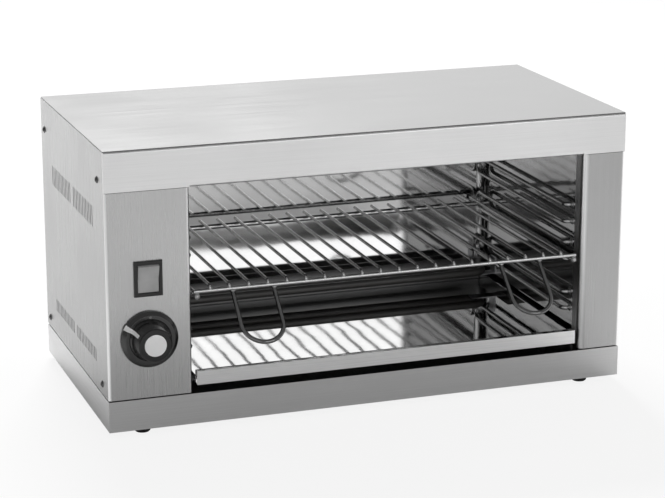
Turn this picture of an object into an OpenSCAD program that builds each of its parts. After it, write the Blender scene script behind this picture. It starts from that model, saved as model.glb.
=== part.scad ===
// Countertop salamander grill: folded sheet casing, polished cavity, slide-out wire rack and crumb tray.
// +Z is up, +X is to the right seen from the front, the front faces -Y and the feet stand on Z = 0.
// Inside in_body() x runs from the left side, y from the front face backwards, z from the base upwards.

/* [Casing] */
// Width over the side panels
body_w = 490; // [440:1:560]
// Depth from the front face to the back face
body_d = 246; // [236:1:320]
// Height of the casing above the feet
body_h = 252; // [246:1:300]
// Thickness of the casing sheet
sheet_t = 1; // [0.8:0.1:1.5]
// Outer radius of the two vertical front corners
corner_r = 3; // [2:0.5:6]
// Outer radius of the folds at the top and bottom of the rail
fold_r = 2; // [1.6:0.1:3]
// Outer radius of the fold on the inner edge of the control panel
panel_fold_r = 4; // [2:0.5:8]
// Outer radius of the fold on the inner edge of the right stile
stile_fold_r = 6; // [2:0.5:10]
// Height of the base apron
base_h = 28; // [24:1:36]
// Open seam between the base apron and the panels above it
base_seam = 1.2; // [0.4:0.1:2]
// Height of the top rail, top cover included
rail_h = 36.5; // [32:0.5:45]
// Open seam between the rail and the panels under it
rail_seam = 0.4; // [0.2:0.1:1]
// Width of the control panel, left of the opening
panel_w = 76; // [72:1:100]
// Width of the stile, right of the opening
stile_w = 41; // [30:1:60]
// Depth of the folds that line the opening
return_d = 16; // [12:1:20]
// Width of the joining flanges behind the panels
flange_w = 20; // [16:1:28]
// Distance that the top cover's edge stands back from the panels
cover_inset = 0.5; // [0:0.1:1]
// Depth of the top cover's inner rim
cover_rim_h = 11; // [8:1:12]

/* [Vents] */
// Width of a vent slot
slot_w = 2; // [1.5:0.1:3]
// Spacing of the vent slots
slot_pitch = 6; // [4.5:0.1:8]
// Slots in one group
group_slots = 13; // [4:1:13]
// Free width between two groups
group_gap = 12; // [6:1:20]
// Lower edge of the upper vent band
upper_vent_z = 176; // [170:1:185]
// Height of the upper vent band
upper_vent_h = 19; // [8:1:24]
// Lower edge of the lower vent band
lower_vent_z = 53; // [50:1:60]
// Height of the lower vent band
lower_vent_h = 12; // [8:1:20]
// Length of the slots in the floor under the controls
floor_slot_l = 60; // [30:1:90]
// Number of slots in the floor
floor_slots = 7; // [2:1:8]

/* [Cavity] */
// Thickness of the polished liner, the roof and the tray
liner_t = 0.8; // [0.6:0.1:1]
// Inner radius of the liner's back corners
liner_r = 8; // [4:1:16]
// Air gap between the liner and the rear panel
rear_gap = 10; // [8:1:30]
// Distance from the top cover down to the liner's top edge
roof_drop = 13; // [12:1:16]

/* [Rack guides] */
// Diameter of the guide wire
guide_wire_d = 4; // [3:0.5:5]
// Spacing of the two wires of one guide
guide_gap = 16; // [15:0.5:20]
// Distance of the guide wires from the wall
guide_standoff = 7; // [6.5:0.5:10]
// Bend radius at the front ends of the guides
guide_bend_r = 5; // [4:0.5:6]
// Front end of the guides, behind the front face
guide_front_y = 24; // [20:1:40]
// Lower wire of the bottom guide
low_guide_z = 63; // [62:0.5:70]
// Lower wire of the middle guide, which carries the rack
mid_guide_z = 111; // [100:0.5:115]
// Lower wire of the top guide
high_guide_z = 147; // [146:0.5:160]

/* [Rack] */
// Diameter of the rack's frame rods
rack_rod_d = 5; // [4:0.5:6]
// Diameter of the rack's front bar
front_bar_d = 3.5; // [3:0.5:5]
// Diameter of the rack's wires
rack_wire_d = 3; // [2:0.5:4]
// Spacing of the rack's wires
rack_wire_pitch = 17.7; // [12:0.1:24]
// Depth of the rack between its front and rear bars
rack_d = 205; // [150:1:207]
// Front bar behind the front face
rack_front_y = 5; // [4:0.5:12]
// Depth by which welded rods sink into each other
weld_sink = 0.4; // [0.2:0.1:0.6]
// Length of the wire ends behind the rear bar
wire_tail = 12; // [3:1:14]
// Radius at which the wires turn down to the front bar
wire_turn_r = 3; // [2:0.5:3.5]
// Running gap between the rack and its guides
rack_gap = 0.3; // [0.2:0.05:0.6]

/* [Rack handles] */
// Diameter of the handle rod
handle_d = 4; // [3:0.5:5]
// Width of a handle loop between the rod centres
handle_w = 38; // [30:1:50]
// Reach of a handle loop along its slope
handle_l = 55; // [40:1:70]
// Downward slope of the handle loops
handle_tilt = 42; // [0:1:60]
// Distance of each handle from the middle of the rack
handle_offset = 128; // [60:1:130]
// Length of the handle legs behind the middle of the front bar
handle_lead = 3; // [2:0.5:6]

/* [Crumb tray] */
// Side gap between the tray and the opening
tray_side_gap = 4; // [3:0.5:8]
// Finger gap between the base apron and the tray
finger_gap = 7.5; // [6:0.5:8]
// Height of the tray's front lip
lip_h = 12.5; // [10:0.5:14]
// Depth of the fold along the top of the lip
lip_fold = 6; // [4:0.5:8]
// Height of the tray's side and rear walls
tray_wall_h = 8; // [5:0.5:9]
// Gap between the tray and the back of the cavity
tray_rear_gap = 6; // [3:0.5:12]
// Width of the tray rails
tray_rail_w = 14; // [10:1:20]
// Running gap between the tray and its rails
tray_gap = 0.2; // [0.1:0.05:0.5]

/* [Heating elements] */
// Diameter of the element sheath
element_d = 8; // [6:0.5:8.5]
// Spacing of the two legs of the lower hairpin
lower_pitch = 22; // [20:1:56]
// Rear leg of the lower hairpin in front of the back wall
lower_back = 18; // [18:1:60]
// Height of the lower hairpin
lower_z = 53; // [52.5:0.5:55]
// Spacing of the two legs of an upper hairpin
upper_pitch = 46; // [36:1:48]
// Front leg of the first upper hairpin behind the front face
upper_y = 58; // [50:1:64]
// Spacing of the two upper hairpins
upper_step = 92; // [70:1:94]
// Height of the upper hairpins under the roof
upper_drop = 14; // [10:0.5:15]
// Gap between the hairpin bends and the right wall
element_end_gap = 10; // [6:1:20]
// Length of the legs that stand out behind the left wall
element_tail = 16; // [12:1:20]
// Diameter of the terminal pins
pin_d = 4; // [3:0.5:5]
// Length of the terminal pins
pin_l = 12; // [8:1:14]
// Outer diameter of the bushing neck
bushing_d = 13; // [11:0.5:14]
// Diameter of the bushing flange
bushing_flange_d = 19; // [16:0.5:20]
// Thickness of the bushing flange
bushing_flange_t = 3; // [2:0.5:4]
// Width of the brackets that hold the hairpin bends
bracket_w = 12; // [8:1:20]
// Reach of the brackets under the hairpin bends
bracket_reach = 24; // [18:1:30]
// Height of the brackets on the wall
bracket_h = 16; // [10:1:18]

/* [Knob and timer] */
// Knob axis from the left side
knob_x = 37.5; // [34:0.5:40]
// Knob axis above the base
knob_z = 83; // [70:0.5:88]
// Diameter of the knob's skirt
skirt_d = 51; // [44:0.5:56]
// Thickness of the skirt
skirt_t = 4; // [3:0.5:6]
// Height of the skirt's upright rim
skirt_rim = 1.2; // [0.8:0.1:2]
// Diameter of the flat ring inside the skirt's sloping edge
skirt_flat_d = 44.4; // [43.6:0.2:48]
// Diameter of the hub that carries the skirt
hub_d = 24; // [20:0.5:30]
// Diameter of the grip where it meets the skirt
grip_base_d = 38.5; // [36:0.5:38.5]
// Diameter of the grip above its flared foot
grip_waist_d = 35; // [32:0.5:36]
// Height of the flared foot
flare_h = 3; // [2:0.5:5]
// Diameter of the grip at its face
grip_face_d = 30; // [28:0.5:32]
// Height of the shadow gap between the grip and the skirt
grip_gap = 0.6; // [0.3:0.1:1]
// Depth of the shadow gap
grip_undercut = 1.5; // [0.5:0.1:2.5]
// Distance of the grip's face from the panel
knob_reach = 22; // [18:0.5:28]
// Gap between the skirt and the panel
skirt_gap = 1; // [0.6:0.1:2]
// Chamfer round the grip's face
face_edge = 1; // [0.4:0.1:1.5]
// Diameter of the silver cap
cap_d = 19.5; // [16:0.5:24]
// Thickness of the silver cap
cap_t = 1.6; // [1:0.1:2]
// Width of the pointer mark
pointer_w = 3.6; // [2:0.1:5]
// Direction of the pointer mark, anticlockwise from three o'clock
pointer_angle = 150; // [0:1:359]
// Thickness of the pointer mark
mark_t = 0.4; // [0.2:0.1:0.8]
// Diameter of the index dot
dot_d = 2.4; // [1.5:0.1:3]
// Diameter of the shaft
shaft_d = 6; // [5:0.5:8]
// Depth of the flat on the shaft's front end
shaft_flat = 1.5; // [0.5:0.1:2]
// Radial running clearance of the shaft
shaft_gap = 0.05; // [0.02:0.01:0.1]
// Length of the shaft inside the timer
shaft_tail = 14; // [8:1:20]
// Outer diameter of the timer's threaded collar
collar_d = 9.5; // [9:0.5:12]
// Length of the collar in front of the panel
collar_l = 6; // [4:0.5:7]
// Gap round the collar in the panel and in the knob
collar_gap = 0.2; // [0.1:0.05:0.5]
// Width and height of the timer body
timer_w = 46; // [30:1:52]
// Depth of the timer body
timer_d = 30; // [22:1:36]
// Width of the collar nut across its flats
nut_w = 14; // [13:0.5:16]
// Thickness of the collar nut
nut_t = 2.5; // [2:0.5:3]

/* [Rocker switch] */
// Switch centre from the left side
switch_x = 37.5; // [34:0.5:40]
// Switch centre above the base
switch_z = 137.5; // [132:0.5:146]
// Width of the bezel
bezel_w = 25.5; // [24:0.5:30]
// Height of the bezel
bezel_h = 32; // [30:0.5:38]
// Thickness of the bezel
bezel_t = 2; // [1.5:0.1:3]
// Width of the bezel's frame round the rocker
bezel_frame = 3.2; // [3:0.1:4.5]
// Edge of the bezel beyond the cut-out in the panel
bezel_lap = 1.7; // [1.2:0.1:2]
// Gap between the housing and the cut-out
cutout_gap = 0.1; // [0.05:0.05:0.3]
// Width of the spring clips that hold the housing in the panel
clip_w = 8; // [5:0.5:14]
// Height of the spring clips
clip_h = 1.4; // [1:0.1:2]
// Depth of the housing behind the panel
switch_d = 20; // [18:0.5:28]
// Gap round the rocker
rocker_gap = 0.3; // [0.2:0.05:0.6]
// Tilt of the rocker from its middle position
rocker_tilt = 8; // [4:0.5:10]
// Rocker face in front of the panel at its middle
rocker_face = 1; // [0.5:0.1:1.5]
// Pivot axis behind the panel's front face
pivot_y = 1.2; // [0.8:0.1:2]
// Diameter of the pivot pins
pivot_d = 3; // [2:0.1:3]
// Depth of the pivot pins in the housing
pivot_l = 0.9; // [0.6:0.1:1]

/* [Terminals and inlet] */
// Width of a spade terminal
spade_w = 6.3; // [4.8:0.1:6.5]
// Thickness of a spade terminal
spade_t = 0.8; // [0.5:0.1:1]
// Length of a spade terminal
spade_l = 9; // [6:0.5:12]
// Spacing of the terminal block's ways
way_pitch = 11; // [9:0.5:12]
// Number of ways in the terminal block
ways = 3; // [2:1:4]
// Depth of the terminal block
block_d = 20; // [16:0.5:26]
// Height of the terminal block
block_h = 17; // [14:0.5:20]
// Side wall of the terminal block
block_wall = 1; // [0.5:0.5:3]
// Diameter of the wire holes in the terminal block
way_d = 5; // [4:0.5:6]
// Diameter of the clamp screw holes in the terminal block
clamp_d = 3.6; // [3:0.1:3.8]
// Cable inlet from the left side
gland_x = 36; // [30:0.5:44]
// Cable inlet above the base
gland_z = 78; // [72:0.5:120]
// Diameter of the cable bore
gland_bore = 9; // [7:0.5:10]
// Diameter of the gland's thread
gland_thread_d = 16; // [14:0.5:18]
// Width of the gland's hexagon across its flats
gland_hex_w = 22; // [20:0.5:26]
// Thickness of the gland's hexagon
gland_hex_t = 5; // [4:0.5:6]
// Length of the gland's round nose
gland_nose_l = 10; // [8:0.5:14]
// Thickness of the gland's locknut
locknut_t = 4; // [3:0.5:5]
// Length of the gland's thread behind its locknut
thread_end = 2; // [1:0.5:6]

/* [Feet and screws] */
// Diameter of a foot
foot_d = 14; // [12:0.5:20]
// Height of a foot
foot_h = 6; // [5:0.5:12]
// Chamfer round the bottom of a foot
foot_edge = 1; // [0.5:0.1:2]
// Foot centre from the side
foot_x = 33; // [16:1:60]
// Foot centre from the front and from the back
foot_y = 14; // [13:1:40]
// Diameter of the screw thread
screw_d = 4; // [3:0.5:4]
// Diameter of the screw heads
screw_head_d = 6.6; // [6:0.2:8]
// Height of the screw heads
screw_head_h = 1.8; // [1.4:0.1:2.4]
// Length of the screws under the head
screw_l = 8; // [6:0.5:10]
// Clearance round the screws
screw_gap = 0.2; // [0.1:0.05:0.4]
// Front side screws behind the front face
side_screw_y = 22; // [12:1:26]
// Rear side screws in front of the back face
side_screw_rear = 14; // [10:1:16]
// Upper side screws under the top
side_screw_drop = 29; // [22:1:30]
// Lower side screws above the apron
side_screw_rise = 10.5; // [8:0.5:12]

/* [Hidden] */
$fn = 48;
EPS = 0.01;

// Opening and walls
open_l = panel_w;
open_r = body_w - stile_w;
open_top = body_h - rail_h;
shell_top = body_h - sheet_t;
wall_l = open_l - sheet_t;
wall_r = open_r + sheet_t;
wall_back = body_d - sheet_t - rear_gap - liner_t;
liner_front = max(panel_fold_r, stile_fold_r);
roof_z = shell_top - roof_drop;
panel_z0 = base_h + base_seam;
panel_z1 = open_top - rail_seam;
flange_z1 = base_h + flange_w;
lap_z0 = base_h - flange_w / 2;
rear_flange_top = shell_top - cover_rim_h - cover_inset;

// Side screws, as [y, z]
side_screw_z0 = base_h + side_screw_rise;
side_screw_z1 = body_h - side_screw_drop;
side_screws_at = [
    for (y = [side_screw_y, body_d - side_screw_rear], z = [side_screw_z0, side_screw_z1]) [y, z]
];

// Rear screws, as [x, z]
rear_screw_in = flange_w + screw_head_d;
rear_screw_z0 = base_h + flange_w / 2;
rear_screw_z1 = shell_top - cover_rim_h / 2;
rear_screws_at = [
    for (x = [rear_screw_in, body_w - rear_screw_in], z = [rear_screw_z0, rear_screw_z1]) [x, z]
];

// Vent bands
group_l = (group_slots - 1) * slot_pitch;
group_step = group_l + slot_w + group_gap;

// Guides and rack
guide_l_x = wall_l + guide_standoff;
guide_r_x = wall_r - guide_standoff;
rack_mid_x = (wall_l + wall_r) / 2;
rack_rod_z = mid_guide_z + (guide_wire_d + rack_rod_d) / 2 + rack_gap;
rack_bar_z = rack_rod_z + rack_rod_d - weld_sink;
front_bar_z = rack_rod_z + (rack_rod_d + front_bar_d) / 2 - weld_sink;
rack_wire_z = rack_bar_z + (rack_rod_d + rack_wire_d) / 2 - weld_sink;
rack_rear_y = rack_front_y + rack_d;
rack_span = guide_r_x - guide_l_x - rack_wire_pitch;
rack_wires = floor(rack_span / rack_wire_pitch) + 1;
handle_seat = (front_bar_d + handle_d) / 2;

// Crumb tray
tray_l = open_l + tray_side_gap;
tray_r = open_r - tray_side_gap;
tray_z = base_h + finger_gap;
tray_rear = wall_back - tray_rear_gap;
tray_rail_z = tray_z - tray_gap;
tray_rail_rear = min(tray_rear, wall_back - liner_r);

// Heating elements
upper_z = roof_z - upper_drop;
element_end = wall_r - element_end_gap;
liner_out_l = wall_l - liner_t;
tail_x = liner_out_l - element_tail;
upper_rear_y = upper_y + upper_step;
lower_y = wall_back - lower_back - lower_pitch;
hairpins = [
    [upper_y, upper_pitch, upper_z],
    [upper_rear_y, upper_pitch, upper_z],
    [lower_y, lower_pitch, lower_z]
];
element_legs = [for (h = hairpins, k = [0, 1]) [h[0] + k * h[1], h[2]]];

// Controls
window_w = bezel_w - 2 * bezel_frame;
window_h = bezel_h - 2 * bezel_frame;
cutout_w = bezel_w - 2 * bezel_lap;
cutout_h = bezel_h - 2 * bezel_lap;
rocker_r = window_h / 2 - rocker_gap;
skirt_z = skirt_gap + skirt_t;
gland_reach = gland_hex_t + gland_nose_l;

// The front face stands where the whole object's box is centred on Y = 0
handle_tip_y = rack_front_y + handle_seat * sin(handle_tilt) - handle_l * cos(handle_tilt);
front_reach = max(knob_reach, handle_d / 2 - handle_tip_y);
front_y = (front_reach - body_d - gland_reach) / 2;

// Frames and repeated shapes

module in_body() {
    translate([-body_w / 2, front_y, foot_h])
        children();
}

module in_right_half() {
    translate([wall_l + wall_r, 0, 0])
        mirror([1, 0, 0])
            children();
}

module on_right_side() {
    translate([body_w, 0, 0])
        mirror([1, 0, 0])
            children();
}

// Local z points out of the front face, local y points up
module on_front(x, z) {
    translate([x, 0, z])
        rotate([90, 0, 0])
            children();
}

// Local z points out of the back face, local y points up
module on_back(x, z) {
    translate([x, body_d, z])
        rotate([90, 0, 180])
            children();
}

module rod_x(x0, x1, y, z, d) {
    translate([x0, y, z])
        rotate([0, 90, 0])
            cylinder(d = d, h = x1 - x0);
}

module rod_y(x, y0, y1, z, d) {
    translate([x, y0, z])
        rotate([-90, 0, 0])
            cylinder(d = d, h = y1 - y0);
}

module bent_rod(r, d, angle) {
    rotate_extrude(angle = angle)
        translate([r, 0])
            circle(d = d);
}

module box(x0, x1, y0, y1, z0, z1) {
    translate([x0, y0, z0])
        cube([x1 - x0, y1 - y0, z1 - z0]);
}

// Quarter of a bent sheet in the third quadrant, its outer faces towards -x and -y
module quarter_bend(r, t) {
    intersection() {
        difference() {
            circle(r);
            circle(r - t);
        }
        translate([-r, -r])
            square(r);
    }
}

module slot_2d(w, h) {
    translate([-w / 2, w / 2])
        square([w, h - w]);
    for (y = [w / 2, h - w / 2])
        translate([0, y])
            circle(d = w);
}

// Two groups of upright slots, centred on local x, as a cutter along local z
module vent_band(z, h, depth) {
    for (g = [-1, 1], i = [0 : group_slots - 1])
        translate([g * group_step / 2 + i * slot_pitch - group_l / 2, z, -EPS])
            linear_extrude(depth + 2 * EPS)
                slot_2d(slot_w, h);
}

// A domed screw along -z with its head above z = 0
module screw(length) {
    dome_r = screw_head_d * screw_head_d / (8 * screw_head_h) + screw_head_h / 2;
    recess = screw_head_d / 6;
    difference() {
        rotate_extrude()
            intersection() {
                translate([0, screw_head_h - dome_r])
                    circle(dome_r);
                square([screw_head_d / 2, screw_head_h]);
            }
        for (a = [0, 90])
            rotate(a)
                translate([-screw_head_d / 4, -recess / 2, screw_head_h / 2])
                    cube([screw_head_d / 2, recess, screw_head_h]);
    }
    translate([0, 0, -length])
        cylinder(d = screw_d, h = length + EPS);
}

module hex_prism(flats, h) {
    cylinder(d = flats / cos(30), h = h, $fn = 6);
}

// Casing

module base_pan() color("silver") in_body() difference() {
    union() {
        box(0, body_w, 0, body_d, 0, sheet_t);
        box(0, body_w, 0, sheet_t, 0, base_h);
        box(0, body_w, body_d - sheet_t, body_d, 0, base_h);
        for (x = [0, body_w - sheet_t])
            box(x, x + sheet_t, 0, body_d, 0, base_h);
        // Flanges set in by one sheet, which the panels are screwed to
        for (x = [sheet_t, body_w - 2 * sheet_t])
            box(x, x + sheet_t, corner_r, body_d - sheet_t, lap_z0, flange_z1);
        box(sheet_t, body_w - sheet_t, body_d - 2 * sheet_t, body_d - sheet_t, lap_z0, flange_z1);
    }
    for (x = [foot_x, body_w - foot_x], y = [foot_y, body_d - foot_y])
        translate([x, y, -EPS])
            cylinder(d = screw_d + 2 * screw_gap, h = sheet_t + 2 * EPS);
    for (i = [0 : floor_slots - 1])
        translate([knob_x + (i - (floor_slots - 1) / 2) * slot_pitch, body_d / 2 - floor_slot_l / 2, -EPS])
            linear_extrude(sheet_t + 2 * EPS)
                slot_2d(slot_w, floor_slot_l);
    side_screw_holes(side_screw_z0);
    on_right_side()
        side_screw_holes(side_screw_z0);
    rear_screw_holes(rear_screw_z0);
}

module side_screw_holes(z) {
    for (s = side_screws_at)
        if (s[1] == z)
            rod_x(-EPS, 2 * sheet_t + EPS, s[0], z, screw_d + 2 * screw_gap);
}

module rear_screw_holes(z) {
    for (s = rear_screws_at)
        if (s[1] == z)
            rod_y(s[0], body_d - 3 * sheet_t, body_d + EPS, z, screw_d + 2 * screw_gap);
}

// Side sheet, front corner and front face of one side, as a left side of the given front width
module bent_panel(front_w, edge_r) {
    box(0, sheet_t, corner_r, body_d, panel_z0, shell_top);
    box(0, sheet_t, sheet_t, corner_r, open_top, shell_top);
    translate([0, 0, panel_z0])
        linear_extrude(panel_z1 - panel_z0) {
            translate([corner_r, corner_r])
                quarter_bend(corner_r, sheet_t);
            translate([corner_r, 0])
                square([front_w - corner_r - edge_r, sheet_t]);
            translate([front_w - edge_r, edge_r])
                mirror([1, 0])
                    quarter_bend(edge_r, sheet_t);
            translate([front_w - sheet_t, edge_r])
                square([sheet_t, return_d - edge_r]);
        }
}

module side_cuts() {
    translate([0, body_d / 2, 0])
        rotate([90, 0, 90]) {
            vent_band(upper_vent_z, upper_vent_h, sheet_t);
            vent_band(lower_vent_z, lower_vent_h, sheet_t);
        }
    for (z = [side_screw_z0, side_screw_z1])
        side_screw_holes(z);
}

module left_panel() color("silver") in_body() difference() {
    bent_panel(panel_w, panel_fold_r);
    side_cuts();
    rod_y(knob_x, -EPS, sheet_t + EPS, knob_z, collar_d + 2 * collar_gap);
    box(switch_x - cutout_w / 2, switch_x + cutout_w / 2, -EPS, sheet_t + EPS,
        switch_z - cutout_h / 2, switch_z + cutout_h / 2);
}

module right_panel() color("silver") in_body() on_right_side() difference() {
    bent_panel(stile_w, stile_fold_r);
    side_cuts();
}

module front_top_rail() color("gainsboro") in_body() difference() {
    union() {
        // Front face, full width, with its top fold between the side panels
        box(0, body_w, 0, sheet_t, open_top + fold_r, shell_top - fold_r);
        for (x = [0, body_w - sheet_t])
            box(x, x + sheet_t, 0, sheet_t, open_top, shell_top);
        translate([sheet_t, 0, 0])
            rotate([90, 0, 90])
                linear_extrude(body_w - 2 * sheet_t) {
                    translate([fold_r, shell_top - fold_r])
                        mirror([0, 1])
                            quarter_bend(fold_r, sheet_t);
                    translate([fold_r, shell_top - sheet_t])
                        square([return_d - fold_r, sheet_t]);
                }
        // Plain lower edge beside the opening, folded lower edge above it
        box(0, open_l, 0, sheet_t, open_top, open_top + fold_r);
        box(open_r, body_w, 0, sheet_t, open_top, open_top + fold_r);
        translate([open_l, 0, 0])
            rotate([90, 0, 90])
                linear_extrude(open_r - open_l) {
                    translate([fold_r, open_top + fold_r])
                        quarter_bend(fold_r, sheet_t);
                    translate([fold_r, open_top])
                        square([return_d - fold_r, sheet_t]);
                }
        for (x = [sheet_t, body_w - 2 * sheet_t])
            box(x, x + sheet_t, sheet_t, side_screw_y + flange_w / 2, open_top + fold_r, shell_top - fold_r);
    }
    side_screw_holes(side_screw_z1);
    on_right_side()
        side_screw_holes(side_screw_z1);
}

module top_cover() color("lightgray") in_body() difference() {
    rim_x = 2 * sheet_t + cover_inset;
    rim_y0 = return_d + cover_inset;
    rim_y1 = body_d - 2 * sheet_t;
    rim_z = shell_top - cover_rim_h;
    union() {
        box(cover_inset, body_w - cover_inset, cover_inset, body_d - cover_inset, shell_top, body_h);
        for (x = [rim_x, body_w - rim_x - sheet_t])
            box(x, x + sheet_t, rim_y0, rim_y1, rim_z, shell_top);
        for (y = [rim_y0, rim_y1])
            box(rim_x, body_w - rim_x, y, y + sheet_t, rim_z, shell_top);
    }
    rear_screw_holes(rear_screw_z1);
}

module rear_panel() color("silver") in_body() difference() {
    union() {
        box(sheet_t, body_w - sheet_t, body_d - sheet_t, body_d, panel_z0, shell_top);
        for (x = [sheet_t, body_w - 2 * sheet_t])
            box(x, x + sheet_t, body_d - flange_w, body_d - sheet_t, flange_z1 + base_seam, rear_flange_top);
    }
    translate([body_w / 2, body_d, 0])
        rotate([90, 0, 0]) {
            vent_band(upper_vent_z, upper_vent_h, sheet_t);
            vent_band(lower_vent_z, lower_vent_h, sheet_t);
        }
    rod_y(gland_x, body_d - sheet_t - EPS, body_d + EPS, gland_z, gland_thread_d + 2 * screw_gap);
    side_screw_holes(side_screw_z1);
    on_right_side()
        side_screw_holes(side_screw_z1);
    rear_screw_holes(rear_screw_z0);
    rear_screw_holes(rear_screw_z1);
}

// Cavity

// Plan of the cavity from y0 to its round back corners, grown by t beyond the walls
module cavity_plan(t, y0) {
    r = liner_r + t;
    x0 = wall_l - t;
    x1 = wall_r + t;
    y1 = wall_back + t;
    translate([x0, y0])
        square([x1 - x0, y1 - r - y0]);
    translate([x0 + r, y0])
        square([x1 - x0 - 2 * r, y1 - y0]);
    for (x = [x0 + r, x1 - r])
        translate([x, y1 - r])
            circle(r);
}

module cavity_liner() color("white") in_body() difference() {
    translate([0, 0, sheet_t])
        linear_extrude(roof_z - sheet_t)
            difference() {
                cavity_plan(liner_t, liner_front);
                cavity_plan(0, 0);
            }
    for (leg = element_legs)
        rod_x(liner_out_l - EPS, wall_l + EPS, leg[0], leg[1], bushing_d + 2 * screw_gap);
}

module cavity_roof() color("white") in_body() {
    box(liner_out_l, wall_r + liner_t, return_d, wall_back + liner_t, roof_z, roof_z + liner_t);
    box(open_l, open_r, return_d, return_d + liner_t, open_top, roof_z);
}

module left_tray_rail() color("silver") in_body() tray_rail();

module right_tray_rail() color("silver") in_body() in_right_half() tray_rail();

module tray_rail() {
    box(wall_l, wall_l + liner_t, return_d + liner_t, tray_rail_rear, sheet_t, tray_rail_z);
    box(wall_l, wall_l + tray_rail_w, return_d + liner_t, tray_rail_rear, tray_rail_z - liner_t, tray_rail_z);
}

// One guide on the left wall: two wires, joined behind, with their front ends bent to the wall
module rack_guide(z) {
    bend_y = wall_back - rack_gap - (guide_gap + guide_wire_d) / 2;
    for (h = [0, guide_gap]) {
        rod_y(guide_l_x, guide_front_y + guide_bend_r, bend_y, z + h, guide_wire_d);
        translate([guide_l_x - guide_bend_r, guide_front_y + guide_bend_r, z + h])
            rotate(-90)
                bent_rod(guide_bend_r, guide_wire_d, 90);
        rod_x(wall_l, guide_l_x - guide_bend_r, guide_front_y, z + h, guide_wire_d);
    }
    translate([guide_l_x, bend_y, z + guide_gap / 2])
        rotate([0, -90, 0])
            bent_rod(guide_gap / 2, guide_wire_d, 180);
}

module left_lower_guide() color("silver") in_body() rack_guide(low_guide_z);

module left_middle_guide() color("silver") in_body() rack_guide(mid_guide_z);

module left_upper_guide() color("silver") in_body() rack_guide(high_guide_z);

module right_lower_guide() color("silver") in_body() in_right_half() rack_guide(low_guide_z);

module right_middle_guide() color("silver") in_body() in_right_half() rack_guide(mid_guide_z);

module right_upper_guide() color("silver") in_body() in_right_half() rack_guide(high_guide_z);

// Rack and tray

// One wire, turned down onto the front bar
module rack_wire(x) {
    turn_y = rack_front_y + wire_turn_r;
    turn_z = rack_wire_z - wire_turn_r;
    rod_y(x, turn_y, rack_rear_y + wire_tail, rack_wire_z, rack_wire_d);
    translate([x, turn_y, turn_z])
        rotate([180, -90, 0])
            bent_rod(wire_turn_r, rack_wire_d, 90);
    translate([x, rack_front_y, front_bar_z])
        cylinder(d = rack_wire_d, h = turn_z - front_bar_z);
}

module wire_rack() color("lightgray") in_body() {
    for (x = [guide_l_x, guide_r_x])
        rod_y(x, rack_front_y - rack_rod_d / 2, rack_rear_y + rack_rod_d / 2, rack_rod_z, rack_rod_d);
    bar_x0 = guide_l_x - rack_rod_d / 2;
    bar_x1 = guide_r_x + rack_rod_d / 2;
    rod_x(bar_x0, bar_x1, rack_front_y, front_bar_z, front_bar_d);
    rod_x(bar_x0, bar_x1, rack_rear_y, rack_bar_z, rack_rod_d);
    for (i = [0 : rack_wires - 1])
        rack_wire(rack_mid_x + (i - (rack_wires - 1) / 2) * rack_wire_pitch);
}

module rack_handle(x) {
    bend_y = handle_w / 2 - handle_l;
    translate([x, rack_front_y, front_bar_z])
        rotate([handle_tilt, 0, 0])
            translate([0, 0, -handle_seat]) {
                for (side = [-1, 1])
                    rod_y(side * handle_w / 2, bend_y, handle_lead, 0, handle_d);
                translate([0, bend_y, 0])
                    rotate(180)
                        bent_rod(handle_w / 2, handle_d, 180);
            }
}

module rack_handles() color("lightgray") in_body() {
    for (side = [-1, 1])
        rack_handle(rack_mid_x + side * handle_offset);
}

module crumb_tray() color("white") in_body() {
    lip_top = tray_z + lip_h;
    box(tray_l, tray_r, 0, tray_rear, tray_z, tray_z + liner_t);
    box(tray_l, tray_r, 0, liner_t, tray_z, lip_top);
    box(tray_l, tray_r, 0, lip_fold, lip_top - liner_t, lip_top);
    box(tray_l, tray_r, lip_fold - liner_t, lip_fold, lip_top - lip_fold, lip_top);
    for (x = [tray_l, tray_r - liner_t])
        box(x, x + liner_t, lip_fold, tray_rear, tray_z, tray_z + tray_wall_h);
    box(tray_l, tray_r, tray_rear - liner_t, tray_rear, tray_z, tray_z + tray_wall_h);
}

// Heating elements

module hairpin(h) {
    bend_x = element_end - (h[1] + element_d) / 2;
    for (y = [h[0], h[0] + h[1]])
        rod_x(tail_x, bend_x, y, h[2], element_d);
    translate([bend_x, h[0] + h[1] / 2, h[2]])
        rotate(-90)
            bent_rod(h[1] / 2, element_d, 180);
}

module upper_element_front() color("dimgray") in_body() hairpin(hairpins[0]);

module upper_element_rear() color("dimgray") in_body() hairpin(hairpins[1]);

module lower_element() color("dimgray") in_body() hairpin(hairpins[2]);

// Flanged ceramic sleeves that carry the legs through the left wall
module element_bushings() color("white") in_body() {
    for (leg = element_legs)
        difference() {
            union() {
                rod_x(liner_out_l - bushing_flange_t, liner_out_l, leg[0], leg[1], bushing_flange_d);
                rod_x(liner_out_l - EPS, wall_l + bushing_flange_t, leg[0], leg[1], bushing_d);
            }
            rod_x(liner_out_l - bushing_flange_t - EPS, wall_l + bushing_flange_t + EPS,
                  leg[0], leg[1], element_d + screw_gap);
        }
}

module element_terminals() color("tan") in_body() {
    for (leg = element_legs)
        rod_x(tail_x - pin_l, tail_x, leg[0], leg[1], pin_d);
}

// Folded brackets on the right wall, one under each hairpin bend
module element_brackets() color("silver") in_body() {
    for (h = hairpins) {
        y0 = h[0] + h[1] / 2 - bracket_w / 2;
        z1 = h[2] - element_d / 2;
        box(wall_r - sheet_t, wall_r, y0, y0 + bracket_w, z1 - sheet_t, z1 + bracket_h);
        box(wall_r - bracket_reach, wall_r, y0, y0 + bracket_w, z1 - sheet_t, z1);
    }
}

// Knob and timer

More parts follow.
